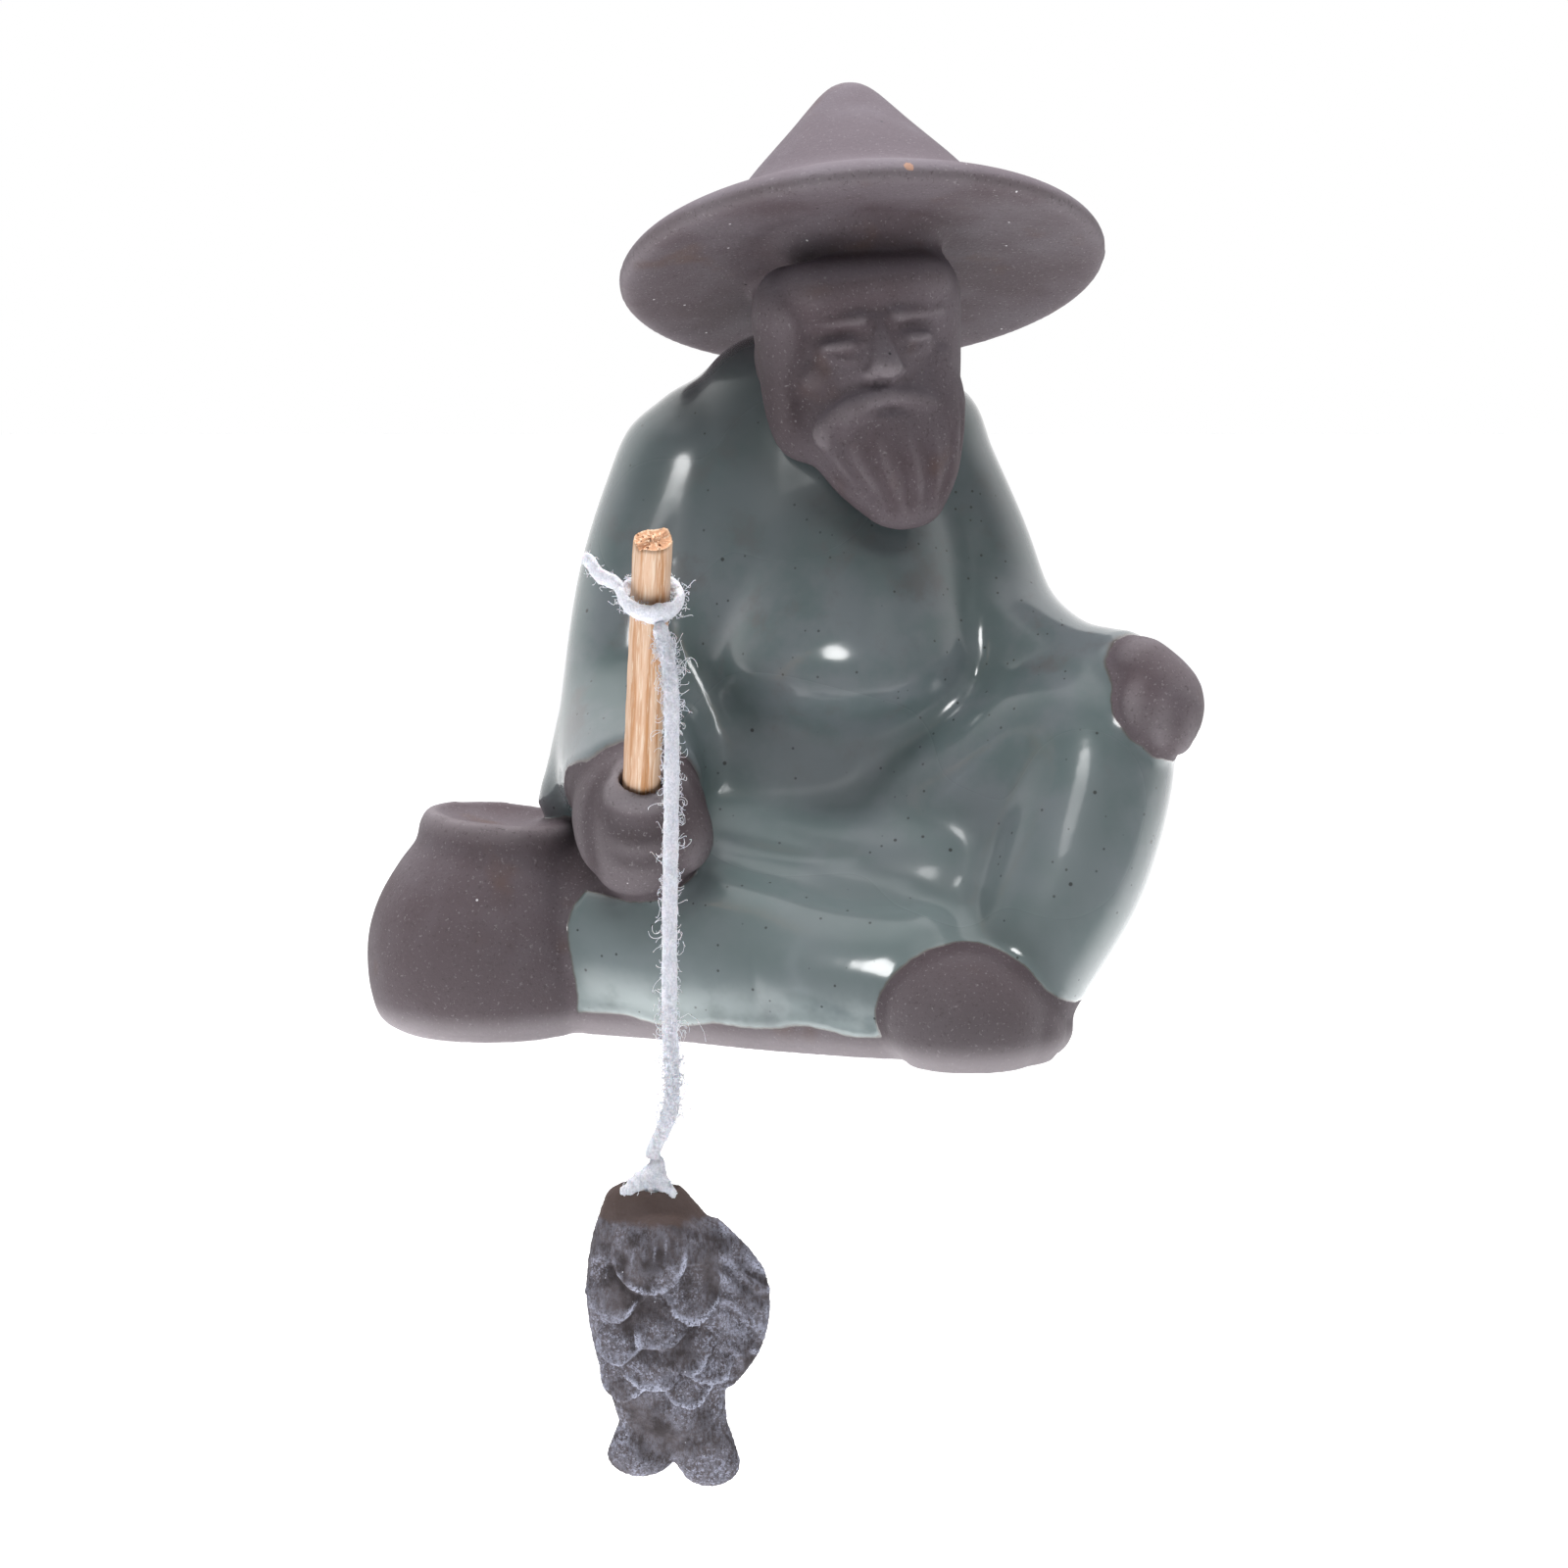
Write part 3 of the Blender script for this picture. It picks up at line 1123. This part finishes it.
def fish():
    """A press-moulded carp: blunt mouth, gill cover, a net of scales, a ribbed back fin and a forked tail."""
    bm = bmesh.new()
    for stations in FISH_BODY:
        roll_into(bm, [(
            FISH_MOUTH.x + a * FISH_WIDTH, FISH_MOUTH.y, FISH_MOUTH.z - d * FISH_LENGTH,
            w * FISH_WIDTH, t * FISH_THICKNESS, h * FISH_LENGTH,
        ) for a, d, w, t, h in stations])
    for side in (-1, 1):
        ball_into(
            bm,
            (FISH_MOUTH.x + 0.05 * FISH_WIDTH, FISH_MOUTH.y - side * 0.28 * FISH_THICKNESS,
             FISH_MOUTH.z - 0.235 * FISH_LENGTH),
            (0.27 * FISH_WIDTH, 0.25 * FISH_THICKNESS, 0.155 * FISH_LENGTH),
        )
    mesh = merged(mesh_of(bm, "fish"), FISH_GRAIN, 0.16)
    co, out = points_of(mesh), normals_of(mesh)
    u = co[:, 0] - FISH_MOUTH.x
    v = FISH_MOUTH.z - co[:, 2]
    facing_out = smooth_step(np.abs(out[:, 1]), 0.15, 0.55)
    su = u + 0.24 * np.sin(v * 1.1 + 0.7) + 0.12 * np.sin(u * 2.3 + v * 1.9)
    sv = v + 0.26 * np.sin(u * 1.3 + 1.2) + 0.12 * np.sin(v * 2.1 - u * 1.1)
    scales, chalk = scale_relief(su, sv)
    gill = np.hypot((u + 0.1) / 2.6, (v - 4.3) / 3.0)
    on_gill = smooth_step(gill, 1.06, 0.98) * smooth_step(v, 1.6, 2.8)
    brim = np.exp(-((gill - 0.93) / 0.09) ** 2) * smooth_step(v, 3.4, 5.4)
    striae = np.sin(u * 8.5 + 0.9 * np.sin(v * 1.3)) * (0.6 + 0.4 * np.sin(v * 1.9 + u))
    striae = striae * on_gill * smooth_step(v, 2.6, 3.6)
    on_fin = smooth_step(u, 4.2, 5.2) * smooth_step(v, 1.8, 3.0) * smooth_step(v, 13.2, 12.0)
    ribs = on_fin * np.sin((sv * 0.82 - su * 0.57) * 4.9) * (0.65 + 0.35 * np.sin(v * 1.1))
    fan = smooth_step(v, 17.0, 18.6) * np.sin(np.arctan2(u - 1.6, v - 13.0) * 15)
    crest = 0.5 + 0.5 * np.clip(ribs, -1, 1)
    height = scales * (1 - on_gill) * (1 - on_fin) + 0.30 * on_gill + 0.14 * brim + 0.05 * striae
    height = (height + 0.15 * ribs + 0.05 * fan) * facing_out
    chalk = np.where(on_gill > 0.5, 0.30 + 0.30 * striae + 0.6 * brim, chalk)
    chalk = np.where(on_fin > 0.5, 0.20 + 0.55 * crest, chalk)
    moved = height + chance.normal(0, 0.022, len(co))
    store(mesh, "chalk", chalk * smooth_step(v, 0.6, 1.6))
    reshape(mesh, co + out * moved[:, None])
    mesh = smoothed(mesh, 1, 0.4)
    room = bmesh.new()
    hull_into(room, ball_points(KNOT_CENTRE, [r * 0.9 + FIT_GAP for r in KNOT_RADII], columns=24, rows=15))
    mesh = without(mesh, mesh_of(room, "mouth"))
    store_relief(mesh, 14)
    co = points_of(mesh)
    store(mesh, "down", FISH_MOUTH.z - co[:, 2])
    return mesh


# Finishes


def clay_colour(paint, place, relief):
    """Bare purple-brown stoneware, dusty on its ridges, with rusty blooms and fine pale and dark grains."""
    return paint.coats(
        (0.082, 0.062, 0.070),
        ((0.112, 0.093, 0.105), paint.cloud(place, 9.0).rise(0.38, 0.66)),
        ((0.094, 0.058, 0.048), paint.cloud(place, 5.0, 2.0).rise(0.60, 0.78) * 0.6),
        ((0.046, 0.034, 0.038), paint.written("scorch") * 0.65),
        ((0.26, 0.235, 0.25), relief.rise(0.02, 0.35) * 0.5),
        ((0.07, 0.052, 0.055), relief.rise(-0.02, -0.5) * 0.22),
        ((0.050, 0.038, 0.040), paint.cloud(place, 0.30, 3.0, 0.7).rise(0.54, 0.72) * 0.55),
        ((0.27, 0.25, 0.26), paint.cloud(place, 0.24, 2.0).rise(0.60, 0.76) * 0.45),
        ((0.56, 0.54, 0.56), paint.specks(place, 1.9, 0.11, 0.22)),
        ((0.02, 0.017, 0.018), paint.specks(place, 2.6, 0.15, 0.2)),
    )


def bare_clay():
    made, paint, shader = finish_of("bare_stoneware", Specular_IOR_Level=0.2)
    place = paint.place()
    chip = paint.written("chip") + (paint.cloud(place, 0.6) - 0.5) * 0.9
    dress(
        paint, shader,
        Base_Color=paint.coats(
            clay_colour(paint, place, paint.written("relief")),
            ((0.235, 0.215, 0.25), paint.written("dust") * 0.25),
            ((0.33, 0.20, 0.15), chip.rise(0.5, 0.6)),
        ),
        Roughness=0.62 + paint.cloud(place, 3.0) * 0.22,
        Normal=paint.bump(paint.cloud(place, 0.35, 4.0, 0.7), 0.05),
    )
    return made


def glazed_clay():
    """One finish for robe and bare parts: the stored glaze depth parts the two."""
    made, paint, shader = finish_of(
        "celadon_over_stoneware", Specular_IOR_Level=0.4, Coat_IOR=1.7, Coat_Roughness=0.13,
    )
    place = paint.place()
    relief = paint.written("relief")
    depth = paint.written("glaze") + (paint.cloud(place, 1.6, 4.0) - 0.5) * 0.55
    coat = depth.rise(-0.05, 0.08)
    gloss = paint.written("gloss")
    height = paint.along("Z", place)
    thin = paint.cloud(place, 5.5, 5.0, 0.65).rise(0.52, 0.68) * height.rise(16.0, 26.0)
    pooled = height.rise(6.5, 2.6) * paint.cloud(place, 3.0).rise(0.3, 0.6)
    glaze = paint.coats(
        (0.098, 0.130, 0.133),
        ((0.134, 0.156, 0.168), paint.cloud(place, 6.0, 5.0).rise(0.36, 0.62)),
        ((0.080, 0.107, 0.106), paint.cloud(place, 13.0, 2.0).rise(0.52, 0.70) * 0.5),
        ((0.112, 0.110, 0.112), thin * 0.7),
        ((0.066, 0.084, 0.087), height.rise(31.0, 41.0) * 0.6),
        ((0.060, 0.092, 0.082), relief.rise(-0.03, -0.45) * 0.7),
        ((0.165, 0.185, 0.195), relief.rise(0.05, 0.5) * 0.6),
        ((0.165, 0.205, 0.207), height.rise(23.0, 4.0) * 0.55),
        ((0.250, 0.300, 0.300), pooled * 0.75),
        ((0.085, 0.060, 0.050), depth.rise(0.32, 0.04) * 0.7),
        ((0.030, 0.033, 0.032), paint.specks(place, 0.95, 0.13, 0.42) * 0.75),
        ((0.020, 0.021, 0.020), paint.specks(place, 2.1, 0.19, 0.22) * 0.85),
    )
    clay = paint.mix(clay_colour(paint, place, relief), (0.30, 0.275, 0.29), height.rise(2.6, 0.6) * 0.55)
    grain = paint.cloud(place, 0.35, 4.0, 0.7) * (1 - coat) * 0.5
    dress(
        paint, shader,
        Base_Color=paint.mix(clay, glaze, coat),
        Roughness=(1 - coat) * 0.70 + coat * (0.52 - gloss * 0.30),
        Coat_Weight=coat * gloss,
        Normal=paint.bump(grain, 0.10),
    )
    return made


def bamboo():
    made, paint, shader = finish_of("split_bamboo", Specular_IOR_Level=0.4)
    round_about = paint.node("ShaderNodeCombineXYZ", inputs={
        0: paint.written("round_cos") * 1.4,
        1: paint.written("round_sin") * 1.4,
        2: paint.written("up") * 0.045,
    })
    fibre = paint.cloud(round_about, 0.16, 4.0, 0.65)
    place = paint.place()
    pores = paint.specks(place, 0.42, 0.15, 0.75)
    stick = paint.coats(
        (0.52, 0.345, 0.235),
        ((0.385, 0.19, 0.082), paint.cloud(round_about, 0.55, 2.0).rise(0.45, 0.66)),
        ((0.60, 0.48, 0.37), fibre.rise(0.50, 0.64) * 0.8),
        ((0.38, 0.17, 0.05), fibre.rise(0.44, 0.34) * 0.6),
    )
    sawn = paint.coats(
        (0.54, 0.30, 0.18),
        ((0.17, 0.065, 0.03), pores),
        ((0.76, 0.56, 0.40), paint.cloud(place, 0.3, 2.0).rise(0.55, 0.66)),
    )
    dress(
        paint, shader,
        Base_Color=paint.mix(stick, sawn, paint.written("sawn")),
        Roughness=0.42 + fibre * 0.2,
        Normal=paint.bump(fibre - pores * paint.written("sawn"), 0.06),
    )
    return made


def cotton():
    made, paint, shader = finish_of(
        "white_cotton", Roughness=0.95, Specular_IOR_Level=0.1, Sheen_Weight=0.3, Sheen_Roughness=0.5,
        Subsurface_Weight=0.15, Subsurface_Scale=0.0006,
    )
    lint = paint.cloud(paint.place(), 0.16, 4.0, 0.7)
    dress(
        paint, shader,
        Base_Color=paint.mix((0.53, 0.55, 0.61), (0.69, 0.70, 0.76), lint.rise(0.4, 0.6)),
        Normal=paint.bump(lint, 0.07),
    )
    return made


def chalked_clay():
    """Dark clay whose relief caught a chalky blue-white dust; the mouth stayed bare and brown."""
    made, paint, shader = finish_of("chalked_stoneware", Specular_IOR_Level=0.25)
    place = paint.place()
    relief = paint.written("relief")
    down = paint.written("down")
    chalk = paint.written("chalk")
    below_mouth = down.rise(1.0, 2.4)
    wisps = paint.cloud(paint.place((1.5, 1.0, 0.8)), 0.5, 6.0, 0.8)
    patch = paint.cloud(place, 3.2, 3.0)
    dusty = down.rise(1.2, 3.0) * patch.rise(0.25, 0.55) * (0.25 + chalk * 0.9)
    worn = paint.cloud(place, 2.4, 2.0).rise(0.40, 0.58)
    caught = chalk.rise(0.35, 0.80) * paint.cloud(place, 0.17, 3.0, 0.7).rise(0.40, 0.56)
    crumbs = paint.cloud(place, 0.26, 4.0, 0.8).rise(0.50, 0.60)
    mouth = down + (paint.cloud(place, 0.9) - 0.5) * 1.2
    dress(
        paint, shader,
        Base_Color=paint.coats(
            (0.048, 0.040, 0.043),
            ((0.096, 0.083, 0.090), paint.cloud(place, 1.6, 4.0).rise(0.36, 0.62)),
            ((0.225, 0.232, 0.290), dusty * wisps.rise(0.42, 0.58) * 0.8),
            ((0.42, 0.44, 0.55), caught * below_mouth * worn),
            ((0.345, 0.36, 0.455), crumbs * patch.rise(0.42, 0.60) * down.rise(2.0, 3.6) * 0.75),
            ((0.036, 0.029, 0.031), relief.rise(-0.02, -0.16) * 0.75),
            ((0.080, 0.056, 0.050), mouth.rise(2.7, 2.2) * 0.85),
            ((0.55, 0.57, 0.64), paint.specks(place, 0.7, 0.06, 0.3) * below_mouth),
        ),
        Roughness=0.68 + wisps * 0.25,
        Normal=paint.bump(paint.cloud(place, 0.22, 4.0, 0.7), 0.11),
    )
    return made


camera()
studio()
STONEWARE = bare_clay()
CELADON = glazed_clay()
BAMBOO = bamboo()
YARN = cotton()
CHALKED = chalked_clay()

route = line_path()
hitched = [LINE_START + Vector((-0.12, 0.0, 0.36)), LINE_START + Vector((-0.05, 0.0, 0.18)), *route]
thread = yarn(hitched, [Vector((0, -1, 0))] * len(hitched), LINE_DIAMETER / 2, LINE_DIAMETER / 2)
line = piece("line_yarn", thread, YARN, "catch", ["line"])
tuft_piece = piece("line_tuft", tuft(), YARN, "catch", ["line_knot"])
fish_piece = piece("chalked_fish", fish(), CHALKED, "catch", ["fish"])
for name, count, first, last, reach in (  # how many hairs, from where to where on the line, and how long
    ("line_fuzz", 1500, 0.06, 0.80, 0.48),
    ("line_strays", 26, 0.14, 0.80, 1.1),
    ("line_lint", 30, 0.80, 0.99, 0.3),
):
    hairs(name, fuzz_along(route, LINE_DIAMETER / 2, count, first, last), "catch", reach)

ends = [
    (KNOT_CENTRE + Vector((x, -1.0, 0.2)), Vector((0.6 * x, -1, -0.3)).normalized())
    for x in np.linspace(-1.4, 1.3, 70)
]
hairs("tuft_lint", ends, "catch", 0.45)

loop_route, loop_out = loop_path()
bend = LINE_START + Vector((0, 0, LOOP_WIDTH / 2 + FIT_GAP))
piece(
    "loop_yarn", yarn(loop_route, loop_out, LOOP_WIDTH / 2, LOOP_THICKNESS / 2, bend),
    YARN, "loop", ["line_loop"],
)
hairs("loop_fuzz", fuzz_along(loop_route, LOOP_WIDTH / 2, 260), "loop", 0.36)

piece("bamboo_rod", rod(), BAMBOO, "figurine", ["rod"])
piece("robe_and_creel", robe_and_creel(), CELADON, "figurine", ["figurine"])
piece("head_and_hat", head_and_hat(), STONEWARE, "figurine", ["figurine"])
